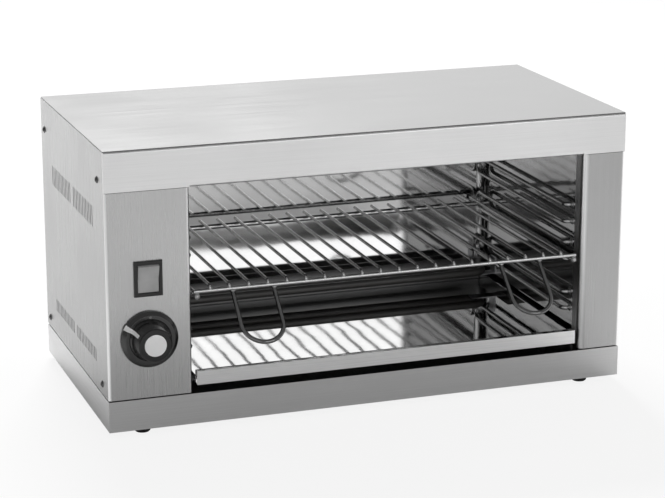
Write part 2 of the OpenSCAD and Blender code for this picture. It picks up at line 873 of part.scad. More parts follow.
module timer_body() color("ivory") in_body() difference() {
    edge_r = timer_w / 12;
    union() {
        translate([knob_x, sheet_t + timer_d, knob_z])
            rotate([90, 0, 0])
                linear_extrude(timer_d) {
                    square([timer_w - 2 * edge_r, timer_w], center = true);
                    square([timer_w, timer_w - 2 * edge_r], center = true);
                    for (sx = [-1, 1], sy = [-1, 1])
                        translate([sx, sy] * (timer_w / 2 - edge_r))
                            circle(edge_r);
                }
        rod_y(knob_x, -collar_l, sheet_t + EPS, knob_z, collar_d);
    }
    rod_y(knob_x, -collar_l - EPS, sheet_t + shaft_tail + shaft_gap, knob_z, shaft_d + 2 * shaft_gap);
}

module timer_nut() color("silver") in_body() on_front(knob_x, knob_z) difference() {
    hex_prism(nut_w, nut_t);
    translate([0, 0, -EPS])
        cylinder(d = collar_d + shaft_gap, h = nut_t + 2 * EPS);
}

// Round in the collar, flattened where the knob sits on it
module timer_shaft() color("silver") in_body() on_front(knob_x, knob_z) {
    tail = sheet_t + shaft_tail;
    translate([0, 0, -tail])
        cylinder(d = shaft_d, h = tail + collar_l + collar_gap);
    flat_shaft(0, collar_l, knob_reach - cap_t);
}

// Half section of the skirt, grown outwards by t
module skirt_section(t) {
    polygon([
        [0, skirt_gap],
        [skirt_d / 2 + t, skirt_gap],
        [skirt_d / 2 + t, skirt_gap + skirt_rim],
        [skirt_flat_d / 2, skirt_z + t],
        [0, skirt_z + t]
    ]);
}

// Half section of the grip, which flares out at its foot, grown outwards by t
module grip_section(t) {
    polygon([
        [0, skirt_z],
        [grip_base_d / 2 + t, skirt_z],
        [grip_waist_d / 2 + t, skirt_z + flare_h],
        [grip_face_d / 2 + t, knob_reach - face_edge],
        [grip_face_d / 2 - face_edge, knob_reach],
        [0, knob_reach]
    ]);
}

// Half section of a thin mark from the skirt's edge to the top of the grip
module pointer_section() {
    difference() {
        union() {
            skirt_section(mark_t);
            grip_section(mark_t);
        }
        skirt_section(0);
        grip_section(0);
        square([skirt_d, skirt_gap + skirt_rim]);
        translate([0, knob_reach - face_edge])
            square([skirt_d, 2 * face_edge]);
    }
}

// Shaft end with its flat, grown by gap, from z0 to z1
module flat_shaft(gap, z0, z1) {
    r = shaft_d / 2 + gap;
    difference() {
        translate([0, 0, z0])
            cylinder(r = r, h = z1 - z0);
        translate([-r, r - shaft_flat, z0 - EPS])
            cube([2 * r, r, z1 - z0 + 2 * EPS]);
    }
}

// Grip with the hub that carries the skirt
module timer_knob() color("black") in_body() on_front(knob_x, knob_z) difference() {
    nut_seat = nut_w / 2 / cos(30) + collar_gap;
    rotate_extrude()
        difference() {
            union() {
                translate([0, skirt_gap])
                    square([hub_d / 2 - shaft_gap, skirt_t + EPS]);
                difference() {
                    grip_section(0);
                    // Shadow gap over the skirt
                    translate([grip_base_d / 2 - grip_undercut, skirt_z - EPS])
                        square([grip_undercut + EPS, grip_gap + EPS]);
                }
            }
            // Room for the nut, then for the collar, and the cap's seat
            square([nut_seat, skirt_gap + nut_t + collar_gap]);
            square([collar_d / 2 + collar_gap, collar_l + collar_gap]);
            translate([0, knob_reach - cap_t + mark_t])
                square([cap_d / 2 + shaft_gap, cap_t]);
        }
    flat_shaft(shaft_gap, collar_l, knob_reach);
}

module knob_skirt() color("gray") in_body() on_front(knob_x, knob_z)
    rotate_extrude()
        difference() {
            skirt_section(0);
            square([hub_d / 2, knob_reach]);
        }

module knob_cap() color("gainsboro") in_body() on_front(knob_x, knob_z)
    translate([0, 0, knob_reach - cap_t + mark_t])
        rotate_extrude() {
            square([cap_d / 2, cap_t - mark_t]);
            square([cap_d / 2 - mark_t, cap_t]);
        }

// White pointer over the skirt and up the grip, and a dot on the skirt at twelve o'clock
module knob_marks() color("white") in_body() on_front(knob_x, knob_z) {
    pointer_sweep = 2 * asin(pointer_w / grip_base_d);
    rotate(pointer_angle - pointer_sweep / 2)
        rotate_extrude(angle = pointer_sweep)
            pointer_section();
    translate([0, (skirt_flat_d + grip_base_d) / 4, skirt_z])
        cylinder(d = dot_d, h = mark_t);
}

// Rocker switch

module switch_housing() color("black") in_body() on_front(switch_x, switch_z) difference() {
    pocket = pivot_y + rocker_r + rocker_gap;
    union() {
        bezel();
        translate([-cutout_w / 2 + cutout_gap, -cutout_h / 2 + cutout_gap, -switch_d])
            cube([cutout_w - 2 * cutout_gap, cutout_h - 2 * cutout_gap, switch_d + EPS]);
        for (side = [0, 1])
            mirror([0, side, 0])
                switch_clip();
    }
    translate([-window_w / 2, -window_h / 2, -pocket])
        cube([window_w, window_h, pocket + bezel_t + EPS]);
    translate([-window_w / 2 - pivot_l - shaft_gap, 0, -pivot_y])
        rotate([0, 90, 0])
            cylinder(d = pivot_d + 2 * shaft_gap, h = window_w + 2 * (pivot_l + shaft_gap));
}

// Wedge on top of the housing, just behind the panel
module switch_clip() {
    root = cutout_h / 2 - cutout_gap;
    rotate([90, 0, 90])
        linear_extrude(clip_w, center = true)
            polygon([
                [root - EPS, -sheet_t - cutout_gap],
                [root + clip_h, -sheet_t - cutout_gap],
                [root - EPS, -switch_d / 2]
            ]);
}

// Bezel with a chamfered front edge, built as two crossed sections
module bezel() {
    chamfer = bezel_t / 3;
    intersection() {
        rotate([90, 0, 0])
            linear_extrude(bezel_h, center = true)
                bezel_section(bezel_w, chamfer);
        rotate([90, 0, 90])
            linear_extrude(bezel_w, center = true)
                bezel_section(bezel_h, chamfer);
    }
}

module bezel_section(w, c) {
    polygon([
        [-w / 2, 0], [w / 2, 0], [w / 2, bezel_t - c],
        [w / 2 - c, bezel_t], [c - w / 2, bezel_t], [-w / 2, bezel_t - c]
    ]);
}

// Rocker seen from the side: local x is up, local y is out of the panel, the pivot is the origin
module rocker_section() {
    face = pivot_y + rocker_face;
    rise = rocker_r * tan(rocker_tilt);
    intersection() {
        circle(rocker_r);
        polygon([
            [-rocker_r, face + rise], [0, face], [rocker_r, face + rise],
            [rocker_r, 0], [rocker_r / 2, -rocker_r], [-rocker_r / 2, -rocker_r], [-rocker_r, 0]
        ]);
    }
}

module switch_rocker() color("gray") in_body() on_front(switch_x, switch_z)
    translate([0, 0, -pivot_y])
        rotate([rocker_tilt, 0, 0]) {
            rotate([90, 0, 90])
                linear_extrude(window_w - 2 * rocker_gap, center = true)
                    rocker_section();
            rotate([0, 90, 0])
                cylinder(d = pivot_d, h = window_w + 2 * pivot_l - 2 * shaft_gap, center = true);
        }

// Terminals and inlet

module spade_terminals() color("tan") in_body() {
    for (side = [-1, 1]) {
        translate([switch_x - spade_w / 2, switch_d, switch_z + side * cutout_h / 4])
            cube([spade_w, spade_l, spade_t]);
        translate([knob_x - spade_w / 2, sheet_t + timer_d, knob_z + side * timer_w / 4])
            cube([spade_w, spade_l, spade_t]);
    }
}

module terminal_block() color("ivory") in_body() difference() {
    block_w = ways * way_pitch + 2 * block_wall;
    x0 = gland_x - block_w / 2;
    y1 = body_d - 2 * sheet_t - flange_w;
    box(x0, x0 + block_w, y1 - block_d, y1, sheet_t, sheet_t + block_h);
    for (i = [0 : ways - 1]) {
        x = gland_x + (i - (ways - 1) / 2) * way_pitch;
        rod_y(x, y1 - block_d - EPS, y1 + EPS, sheet_t + block_h / 3, way_d);
        for (y = [y1 - block_d / 4, y1 - block_d * 3 / 4])
            translate([x, y, sheet_t + block_h / 3])
                cylinder(d = clamp_d, h = block_h);
    }
}

module cable_gland() color("black") in_body() on_back(gland_x, gland_z) difference() {
    nose_r = gland_hex_w / 2 - 1;
    shoulder_r = gland_nose_l / 3;
    thread_l = sheet_t + locknut_t + thread_end;
    union() {
        hex_prism(gland_hex_w, gland_hex_t);
        translate([0, 0, -thread_l])
            cylinder(d = gland_thread_d, h = thread_l + EPS);
        rotate_extrude()
            translate([0, gland_hex_t - EPS]) {
                square([nose_r, gland_nose_l + EPS - shoulder_r]);
                square([nose_r - shoulder_r, gland_nose_l + EPS]);
                translate([nose_r - shoulder_r, gland_nose_l + EPS - shoulder_r])
                    circle(shoulder_r);
            }
    }
    translate([0, 0, -thread_l - EPS])
        cylinder(d = gland_bore, h = gland_reach + thread_l + 2 * EPS);
}

module gland_locknut() color("black") in_body() on_back(gland_x, gland_z)
    translate([0, 0, -sheet_t - locknut_t])
        difference() {
            hex_prism(gland_hex_w, locknut_t);
            translate([0, 0, -EPS])
                cylinder(d = gland_thread_d + shaft_gap, h = locknut_t + 2 * EPS);
        }

// Feet and screws

module rubber_feet() color("black") in_body() {
    for (x = [foot_x, body_w - foot_x], y = [foot_y, body_d - foot_y])
        translate([x, y, -foot_h])
            rotate_extrude()
                difference() {
                    polygon([
                        [0, 0], [foot_d / 2 - foot_edge, 0], [foot_d / 2, foot_edge],
                        [foot_d / 2, foot_h], [0, foot_h]
                    ]);
                    square([screw_d / 2 + screw_gap, foot_h]);
                    square([screw_head_d / 2 + screw_gap, foot_h / 2]);
                }
}

module foot_screws() color("silver") in_body() {
    for (x = [foot_x, body_w - foot_x], y = [foot_y, body_d - foot_y])
        translate([x, y, -foot_h / 2])
            mirror([0, 0, 1])
                screw(screw_l);
}

module side_screws() color("dimgray") in_body() {
    for (s = side_screws_at) {
        translate([0, s[0], s[1]])
            rotate([0, -90, 0])
                screw(screw_l);
        translate([body_w, s[0], s[1]])
            rotate([0, 90, 0])
                screw(screw_l);
    }
}

module rear_screws() color("dimgray") in_body() {
    for (s = rear_screws_at)
        on_back(s[0], s[1])
            screw(screw_l);
}

base_pan();
left_panel();
right_panel();
front_top_rail();
top_cover();
rear_panel();
cavity_liner();
cavity_roof();
left_tray_rail();
right_tray_rail();
left_lower_guide();
left_middle_guide();
left_upper_guide();
right_lower_guide();
right_middle_guide();
right_upper_guide();
wire_rack();
rack_handles();
crumb_tray();
upper_element_front();
upper_element_rear();
lower_element();
element_bushings();
element_terminals();
element_brackets();
timer_body();
timer_nut();
timer_shaft();
timer_knob();
knob_skirt();
knob_cap();
knob_marks();
switch_housing();
switch_rocker();
spade_terminals();
terminal_block();
cable_gland();
gland_locknut();
rubber_feet();
foot_screws();
side_screws();
rear_screws();
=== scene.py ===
"""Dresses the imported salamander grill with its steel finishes, weld beads and controls, on a
plain studio stage."""

import math

import bmesh
import bpy
from bpy.props import FloatProperty, FloatVectorProperty, IntProperty, PointerProperty
from mathutils import Euler, Matrix, Vector


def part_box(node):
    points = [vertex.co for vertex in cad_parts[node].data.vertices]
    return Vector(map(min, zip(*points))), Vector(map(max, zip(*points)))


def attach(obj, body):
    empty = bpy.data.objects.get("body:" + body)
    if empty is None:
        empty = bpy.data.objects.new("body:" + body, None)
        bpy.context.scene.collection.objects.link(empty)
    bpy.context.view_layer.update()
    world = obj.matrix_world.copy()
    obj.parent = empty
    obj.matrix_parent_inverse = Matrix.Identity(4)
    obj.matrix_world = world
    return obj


bl_info = {
    "name": "Salamander grill dressing",
    "version": (1, 0, 0),
    "blender": (4, 5, 0),
    "location": "3D View > Sidebar > Grill",
    "description": "Finishes, weld beads and a studio stage for a salamander grill",
    "category": "Object",
}

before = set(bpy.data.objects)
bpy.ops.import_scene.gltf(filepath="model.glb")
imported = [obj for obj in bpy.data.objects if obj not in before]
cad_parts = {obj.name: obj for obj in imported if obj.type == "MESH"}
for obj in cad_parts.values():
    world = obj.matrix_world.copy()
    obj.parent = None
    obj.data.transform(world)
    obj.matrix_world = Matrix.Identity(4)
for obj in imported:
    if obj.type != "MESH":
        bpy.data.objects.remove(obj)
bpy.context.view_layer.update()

# Where most values of a noise lie
NOISE_LOW, NOISE_HIGH = 0.3, 0.7

# Patterns, with their sizes in metres
BRUSH_NOISE = {"detail": 6, "roughness": 0.65}
LIP_GRAIN = (0.12, 0.12, 0.0012)
CLOUD_SIZE = 0.13
BLOOM_SIZE = (0.05, 0.05, 0.08)
CRYSTAL_SIZE = 0.006
PATCH_SIZE = 0.02
MARK_GRAIN = 0.0006
RING_SIZE = 0.003
FLOOR_GRAIN = 0.4

# Roughness of single sheets: offsets from the brushing, then plain values
BRUSH_SPREAD = 0.05
COVER_POLISH = 0.19
PANEL_POLISH = 0.08
REAR_DULLNESS = 0.06
LIP_ROUGHNESS = 0.3
DARK_FOOT_ROUGHNESS = 0.4

# Faint cloudy handling marks on the brushed sheets
CLOUD_SHARE = 0.08
CLOUD_COLOUR = (0.2, 0.2, 0.2)

# The cavity's roof and tray, as shares of the liner's values
ROOF_SHADE = 0.6
ROOF_ROUGHNESS = 4
TRAY_WAVES = 0.5

# Dark foot, a darker and duller band along the foot of the back sheets: its reach before the
# tray's rear edge, and the wander and half width of its upper edge, in metres
DARK_FOOT_DEPTH = 0.003
DARK_FOOT_WANDER = 0.006
DARK_FOOT_EDGE = 0.0015

# Colours of small pieces
OXIDE_COLOUR = (0.075, 0.073, 0.07)
CERAMIC_COLOUR = (0.76, 0.75, 0.72)
TERMINAL_COLOUR = (0.62, 0.6, 0.55)
TIMER_COLOUR = (0.7, 0.67, 0.58)
NUT_COLOUR = (0.6, 0.59, 0.56)
NYLON_COLOUR = (0.018, 0.018, 0.018)
BLOCK_COLOUR = (0.68, 0.65, 0.56)
SCREW_COLOUR = (0.13, 0.13, 0.13)
RUBBER_COLOUR = (0.02, 0.02, 0.02)

# Weld beads, their X, Y and Z radii: first in radii of a wire or rod, then in metres
FRONT_BEAD = (1.3, 1.2, 0.5)
REAR_BEAD = (1.5, 1.2, 0.6)
CORNER_BEAD = (1.1, 1.0, 0.4)
ROD_END_BEAD = (1.0, 0.6, 1.0)
HANDLE_BEAD = (0.0026, 0.0026, 0.0009)
GUIDE_BEAD = (0.0009, 0.0034, 0.0034)

# Softboxes: place of the middle, then width and height, in metres
KEY_PLACE, KEY_SIZE = (0.2, 1.9, 2.0), (0.8, 0.6)
RIGHT_PLACE, RIGHT_SIZE = (1.0, -2.6, 0.9), (1.2, 0.9)
LEFT_PLACE, LEFT_SIZE = (-0.95, -2.6, 0.95), (1.7, 1.3)

# The room: how much of the right counts as behind, and the heights between which the back
# light fades, on a sphere of radius 1
RIGHT_SHARE = 0.5
LOW_ROOM, HIGH_ROOM = 0.35, 0.7

# Width of the camera's sensor in millimetres
SENSOR_WIDTH = 36


# Sizes and colours that a user would change


class GrillSteel(bpy.types.PropertyGroup):
    """Sheet steel of the cabinet"""

    # Lighter than the other sheets of the same steel: partly the rail's level brushing, partly a
    # painted sheen
    rail_sheen_colour: FloatVectorProperty(
        name="Top rail",
        description="Colour of the rail over the opening",
        subtype="COLOR",
        default=(0.92, 0.92, 0.92),
        min=0,
        max=1,
    )
    cover_colour: FloatVectorProperty(
        name="Top cover",
        description="Colour of the flat top sheet",
        subtype="COLOR",
        default=(0.55, 0.55, 0.55),
        min=0,
        max=1,
    )
    panel_colour: FloatVectorProperty(
        name="Control panel",
        description="Colour of the front of the left panel",
        subtype="COLOR",
        default=(0.61, 0.61, 0.61),
        min=0,
        max=1,
    )
    # Darker than the control panel of the same steel: painted shade
    stile_shade_colour: FloatVectorProperty(
        name="Right stile",
        description="Colour of the front of the right panel",
        subtype="COLOR",
        default=(0.52, 0.52, 0.52),
        min=0,
        max=1,
    )
    # Much darker than the panels' fronts on the same sheets: painted shade
    side_shade_colour: FloatVectorProperty(
        name="Panel sides",
        description="Colour of the sides of the two bent side panels",
        subtype="COLOR",
        default=(0.37, 0.37, 0.37),
        min=0,
        max=1,
    )
    base_colour: FloatVectorProperty(
        name="Base pan",
        description="Colour of the base pan and its apron",
        subtype="COLOR",
        default=(0.68, 0.68, 0.68),
        min=0,
        max=1,
    )
    # Lighter sides of the base pan's apron: painted light
    apron_light_colour: FloatVectorProperty(
        name="Apron sides",
        description="Colour of the sides of the base pan's apron",
        subtype="COLOR",
        default=(0.7, 0.7, 0.7),
        min=0,
        max=1,
    )
    # Painted highlight on the panels' upright bends
    bend_highlight_colour: FloatVectorProperty(
        name="Bends",
        description="Colour of the panels' upright bends, rubbed bright",
        subtype="COLOR",
        default=(0.92, 0.92, 0.92),
        min=0,
        max=1,
    )
    # The cover's dark cut edge: partly a darker cut edge, partly a painted shadow line under the
    # cover
    edge_shadow_colour: FloatVectorProperty(
        name="Cut edge",
        description="Colour of the cover's cut edge",
        subtype="COLOR",
        default=(0.18, 0.18, 0.18),
        min=0,
        max=1,
    )
    roughness: FloatProperty(
        name="Brushing",
        description="Roughness of the brushed sheets",
        subtype="FACTOR",
        default=0.36,
        min=0,
        max=1,
    )
    grain_length: FloatProperty(
        name="Grain length",
        description="Length of a brush mark",
        unit="LENGTH",
        default=0.12,
    )
    grain_width: FloatProperty(
        name="Grain width",
        description="Width of a brush mark",
        unit="LENGTH",
        default=0.0012,
    )


class GrillCavity(bpy.types.PropertyGroup):
    """Polished sheets round the cooking space"""

    liner_colour: FloatVectorProperty(
        name="Liner",
        description="Colour of the polished walls",
        subtype="COLOR",
        default=(0.6, 0.6, 0.6),
        min=0,
        max=1,
    )
    liner_roughness: FloatProperty(
        name="Polish",
        description="Roughness of the polished walls",
        subtype="FACTOR",
        default=0.06,
        min=0,
        max=1,
    )
    wave_length: FloatProperty(
        name="Wave length",
        description="Length of the waves in the thin polished sheet",
        unit="LENGTH",
        default=0.07,
    )
    wave_height: FloatProperty(
        name="Wave height",
        description="Height of the waves in the thin polished sheet",
        unit="LENGTH",
        default=0.0004,
    )
    tray_colour: FloatVectorProperty(
        name="Crumb tray",
        description="Colour of the crumb tray",
        subtype="COLOR",
        default=(0.62, 0.62, 0.62),
        min=0,
        max=1,
    )
    # Lighter than the tray of the same steel: partly the lip's brushing, partly painted light
    lip_light_colour: FloatVectorProperty(
        name="Tray lip",
        description="Colour of the tray's brushed front lip",
        subtype="COLOR",
        default=(0.94, 0.94, 0.94),
        min=0,
        max=1,
    )
    # Darker, duller band at the foot of the back sheets and the tray's rear
    dark_foot_colour: FloatVectorProperty(
        name="Scorched steel",
        description="Colour of the sheets behind the lower element, darkened by its heat",
        subtype="COLOR",
        default=(0.16, 0.16, 0.16),
        min=0,
        max=1,
    )
    # Height of that darker band
    dark_foot_height: FloatProperty(
        name="Scorch height",
        description="Height of the scorched foot of the back wall",
        unit="LENGTH",
        default=0.064,
    )
    tray_roughness: FloatProperty(
        name="Tray polish",
        description="Roughness of the crumb tray",
        subtype="FACTOR",
        default=0.03,
        min=0,
        max=1,
    )
    zinc_colour: FloatVectorProperty(
        name="Zinc",
        description="Colour of the galvanised rails and brackets",
        subtype="COLOR",
        default=(0.50, 0.50, 0.51),
        min=0,
        max=1,
    )


class GrillWirework(bpy.types.PropertyGroup):
    """Rack, handles and guides"""

    wire_colour: FloatVectorProperty(
        name="Wire",
        description="Colour of the chromed wire",
        subtype="COLOR",
        default=(0.58, 0.58, 0.58),
        min=0,
        max=1,
    )
    # Much darker than the rack's chrome of the same plating: painted shade
    handle_shade_colour: FloatVectorProperty(
        name="Handles",
        description="Colour of the two handle loops",
        subtype="COLOR",
        default=(0.2, 0.2, 0.2),
        min=0,
        max=1,
    )
    weld_colour: FloatVectorProperty(
        name="Weld",
        description="Colour of the weld beads",
        subtype="COLOR",
        default=(0.46, 0.46, 0.46),
        min=0,
        max=1,
    )
    wires: IntProperty(
        name="Wires",
        description="Number of wires across the rack",
        default=20,
        min=2,
    )
    wire_pitch: FloatProperty(
        name="Wire pitch",
        description="Spacing of the rack's wires",
        unit="LENGTH",
        default=0.0177,
    )
    wire_d: FloatProperty(
        name="Wire diameter",
        description="Diameter of the rack's wires",
        unit="LENGTH",
        default=0.003,
    )
    rod_d: FloatProperty(
        name="Rod diameter",
        description="Diameter of the rack's frame rods",
        unit="LENGTH",
        default=0.005,
    )
    front_bar_d: FloatProperty(
        name="Front bar diameter",
        description="Diameter of the rack's front bar",
        unit="LENGTH",
        default=0.0035,
    )
    wire_tail: FloatProperty(
        name="Wire tail",
        description="Length of the wire ends behind the rear bar",
        unit="LENGTH",
        default=0.012,
    )
    weld_sink: FloatProperty(
        name="Weld sink",
        description="Depth by which welded rods sink into each other",
        unit="LENGTH",
        default=0.0004,
    )
    handle_w: FloatProperty(
        name="Handle width",
        description="Width of a handle loop between its rod centres",
        unit="LENGTH",
        default=0.038,
    )
    handle_d: FloatProperty(
        name="Handle diameter",
        description="Diameter of the handle rod",
        unit="LENGTH",
        default=0.004,
    )
    handle_tilt: FloatProperty(
        name="Handle tilt",
        description="Downward slope of the handle loops",
        unit="ROTATION",
        default=math.radians(42),
    )
    guide_wire_d: FloatProperty(
        name="Guide wire diameter",
        description="Diameter of the guide wires",
        unit="LENGTH",
        default=0.004,
    )


class GrillControls(bpy.types.PropertyGroup):
    """Knob and switch"""

    knob_colour: FloatVectorProperty(
        name="Knob",
        description="Colour of the glossy knob",
        subtype="COLOR",
        default=(0.012, 0.012, 0.012),
        min=0,
        max=1,
    )
    skirt_colour: FloatVectorProperty(
        name="Knob skirt",
        description="Colour of the dark metal ring under the grip",
        subtype="COLOR",
        default=(0.085, 0.085, 0.085),
        min=0,
        max=1,
    )
    cap_colour: FloatVectorProperty(
        name="Knob cap",
        description="Colour of the turned disc on the knob",
        subtype="COLOR",
        default=(0.95, 0.95, 0.95),
        min=0,
        max=1,
    )
    mark_colour: FloatVectorProperty(
        name="Pointer",
        description="Colour of the pointer's filling",
        subtype="COLOR",
        default=(0.82, 0.82, 0.82),
        min=0,
        max=1,
    )
    dot_colour: FloatVectorProperty(
        name="Dot",
        description="Colour of the small dot on the skirt",
        subtype="COLOR",
        default=(0.2, 0.2, 0.2),
        min=0,
        max=1,
    )
    dot_reach: FloatProperty(
        name="Dot reach",
        description="Distance to either side of the axis within which a mark is the dot",
        unit="LENGTH",
        default=0.0045,
    )
    mark_start: FloatProperty(
        name="Pointer start",
        description="Distance from the knob's axis at which the pointer's white starts",
        unit="LENGTH",
        default=0.016,
    )
    rocker_colour: FloatVectorProperty(
        name="Rocker",
        description="Colour of the rocker",
        subtype="COLOR",
        default=(0.46, 0.46, 0.46),
        min=0,
        max=1,
    )
    housing_colour: FloatVectorProperty(
        name="Switch frame",
        description="Colour of the switch housing",
        subtype="COLOR",
        default=(0.016, 0.016, 0.016),
        min=0,
        max=1,
    )


class GrillStage(bpy.types.PropertyGroup):
    """Floor, light and camera"""

    floor_size: FloatProperty(
        name="Floor size",
        description="Side of the square floor",
        unit="LENGTH",
        default=24,
    )
    floor_colour: FloatVectorProperty(
        name="Floor",
        description="Colour of the floor",
        subtype="COLOR",
        default=(0.9, 0.9, 0.9),
        min=0,
        max=1,
    )
    floor_glow: FloatProperty(
        name="Floor white",
        description="Share of plain white in the floor that the camera sees",
        subtype="FACTOR",
        default=0.86,
        min=0,
        max=1,
    )
    floor_shine: FloatProperty(
        name="Floor in metal",
        description="Share of plain white in the floor that metal and clear pieces see",
        subtype="FACTOR",
        default=0.05,
        min=0,
        max=1,
    )
    front_light: FloatProperty(
        name="Front light",
        description="Level of the room in front of the grill",
        default=0.33,
        min=0,
    )
    back_light: FloatProperty(
        name="Back light",
        description="Level of the room behind the grill",
        default=0.88,
        min=0,
    )
    key_level: FloatProperty(
        name="Key light",
        description="Brightness of the softbox over the back",
        default=46.0,
        min=0,
    )
    right_level: FloatProperty(
        name="Right light",
        description="Brightness of the softbox before the right front",
        default=2.1,
        min=0,
    )
    left_level: FloatProperty(
        name="Left light",
        description="Brightness of the large dim softbox beside the camera",
        default=0.45,
        min=0,
    )
    lens: FloatProperty(
        name="Lens",
        description="Focal length of the camera on a 36 mm wide sensor, in millimetres",
        default=122.0,
    )
    camera_place: FloatVectorProperty(
        name="Camera place",
        description="Where the camera stands",
        subtype="TRANSLATION",
        unit="LENGTH",
        default=(-0.6717, -1.9274, 0.6874),
    )
    camera_pitch: FloatProperty(
        name="Camera pitch",
        description="Downward tilt of the camera",
        unit="ROTATION",
        default=math.radians(15.502),
    )
    camera_yaw: FloatProperty(
        name="Camera yaw",
        description="Turn of the camera to the right",
        unit="ROTATION",
        default=math.radians(19.224),
    )


# Finishes


def start_finish(name):
    """A material with one shader, ready for its patterns"""
    finish = bpy.data.materials.new(name)
    finish.use_nodes = True
    tree = finish.node_tree
    return finish, tree, tree.nodes["Principled BSDF"]


def add_node(tree, kind, **settings):
    """A new node with its settings"""
    node = tree.nodes.new(kind)
    for name, value in settings.items():
        setattr(node, name, value)
    return node


def pattern_space(tree, size, centre=(0, 0, 0)):
    """Object coordinates about a centre, in units of the given size or sizes in metres"""
    place = add_node(tree, "ShaderNodeTexCoord")
    mapping = add_node(tree, "ShaderNodeMapping", vector_type="TEXTURE")
    mapping.inputs["Location"].default_value = centre
    mapping.inputs["Scale"].default_value = size if isinstance(size, tuple) else (size,) * 3
    tree.links.new(place.outputs["Object"], mapping.inputs["Vector"])
    return mapping.outputs["Vector"]


def parts_of(tree, vector):
    """The X, Y and Z of a vector socket"""
    split = add_node(tree, "ShaderNodeSeparateXYZ")
    tree.links.new(vector, split.inputs["Vector"])
    return split.outputs


def noise(tree, space, detail, roughness):
    """A noise of one step to each unit of its space"""
    node = add_node(tree, "ShaderNodeTexNoise")
    node.inputs["Scale"].default_value = 1.0
    node.inputs["Detail"].default_value = detail
    node.inputs["Roughness"].default_value = roughness
    tree.links.new(space, node.inputs["Vector"])
    return node.outputs["Fac"]


def between(tree, value, low, high, start=NOISE_LOW, end=NOISE_HIGH):
    """A value moved from start..end to low..high"""
    node = add_node(tree, "ShaderNodeMapRange")
    node.inputs["From Min"].default_value = start
    node.inputs["From Max"].default_value = end
    node.inputs["To Min"].default_value = low
    node.inputs["To Max"].default_value = high
    tree.links.new(value, node.inputs["Value"])
    return node.outputs["Result"]


def combine(tree, operation, first, second):
    """One step of arithmetic on two numbers or sockets"""
    node = add_node(tree, "ShaderNodeMath", operation=operation)
    for socket, value in zip(node.inputs, (first, second)):
        if isinstance(value, (int, float)):
            socket.default_value = value
        else:
            tree.links.new(value, socket)
    return node.outputs["Value"]


def unsigned(tree, value):
    """A socket's value without its sign"""
    return combine(tree, "ABSOLUTE", value, 0)


def shades(tree, value, colour, low, high, start=NOISE_LOW, end=NOISE_HIGH):
    """A ramp from a darker to a lighter shade of one colour"""
    node = add_node(tree, "ShaderNodeValToRGB")
    for stop, place, level in zip(node.color_ramp.elements, (start, end), (low, high)):
        stop.position = place
        stop.color = (*[min(1.0, part * level) for part in colour], 1)
    tree.links.new(value, node.inputs["Fac"])
    return node.outputs["Color"]


def blend_colours(tree, share, first, second):
    """Two colours, or colour sockets, mixed by a share"""
    node = add_node(tree, "ShaderNodeMix", data_type="RGBA")
    ends = [socket for socket in node.inputs if socket.type == "RGBA"]
    for socket, value in zip(ends, (first, second)):
        if isinstance(value, bpy.types.NodeSocket):
            tree.links.new(value, socket)
        else:
            socket.default_value = (*value, 1)
    tree.links.new(share, node.inputs["Factor"])
    return next(socket for socket in node.outputs if socket.type == "RGBA")


def relief(tree, shader, height, depth, strength=1.0):
    """A bump of that depth in metres"""
    node = add_node(tree, "ShaderNodeBump")
    node.inputs["Strength"].default_value = strength
    node.inputs["Distance"].default_value = depth
    tree.links.new(height, node.inputs["Height"])
    tree.links.new(node.outputs["Normal"], shader.inputs["Normal"])


def wear(finish, *nodes):
    """Puts a finish on the named nodes"""
    for name in nodes:
        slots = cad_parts[name].data.materials
        slots.clear()
        slots.append(finish)


def brushed_steel(name, colour, grain, roughness, painted_faces=None, bend_highlight=None):
    """Sheet with fine straight brush marks and faint cloudy handling marks.
    Painted faces is an axis and a second colour painted on the faces that turn from it, to
    lighten or darken them; bend highlight the colour of a painted highlight on the upright bends"""
    finish, tree, shader = start_finish(name)
    marks = noise(tree, pattern_space(tree, grain), **BRUSH_NOISE)
    clouds = noise(tree, pattern_space(tree, CLOUD_SIZE), detail=3, roughness=0.5)
    tone = shades(tree, marks, colour, low=0.96, high=1.04)
    tone = blend_colours(tree, between(tree, clouds, 0, CLOUD_SHARE), tone, CLOUD_COLOUR)
    # Faces turning from the axis take a second colour: painted shade on the panels' sides, painted
    # light on the apron's sides, a painted shadow line on the cover's edge
    if painted_faces is not None:
        axis, painted_tone = painted_faces
        facing = parts_of(tree, add_node(tree, "ShaderNodeTexCoord").outputs["Normal"])
        turned = between(tree, unsigned(tree, facing[axis]), 1, 0)
        tone = blend_colours(tree, turned, tone, shades(tree, marks, painted_tone, low=0.94, high=1.06))
        # Upright bends between them take a painted highlight
        if bend_highlight is not None:
            across, along = unsigned(tree, facing["X"]), unsigned(tree, facing["Y"])
            slant = combine(tree, "MINIMUM", across, along)
            highlighted = between(tree, slant, 0, 1, start=0.1, end=0.5)
            tone = blend_colours(tree, highlighted, tone, bend_highlight)
    tree.links.new(tone, shader.inputs["Base Color"])
    brushing = between(tree, marks, roughness - BRUSH_SPREAD, roughness + BRUSH_SPREAD)
    handling = between(tree, clouds, low=-0.02, high=0.04)
    tree.links.new(combine(tree, "ADD", brushing, handling), shader.inputs["Roughness"])
    relief(tree, shader, marks, depth=0.00003, strength=0.5)
    shader.inputs["Metallic"].default_value = 1
    return finish


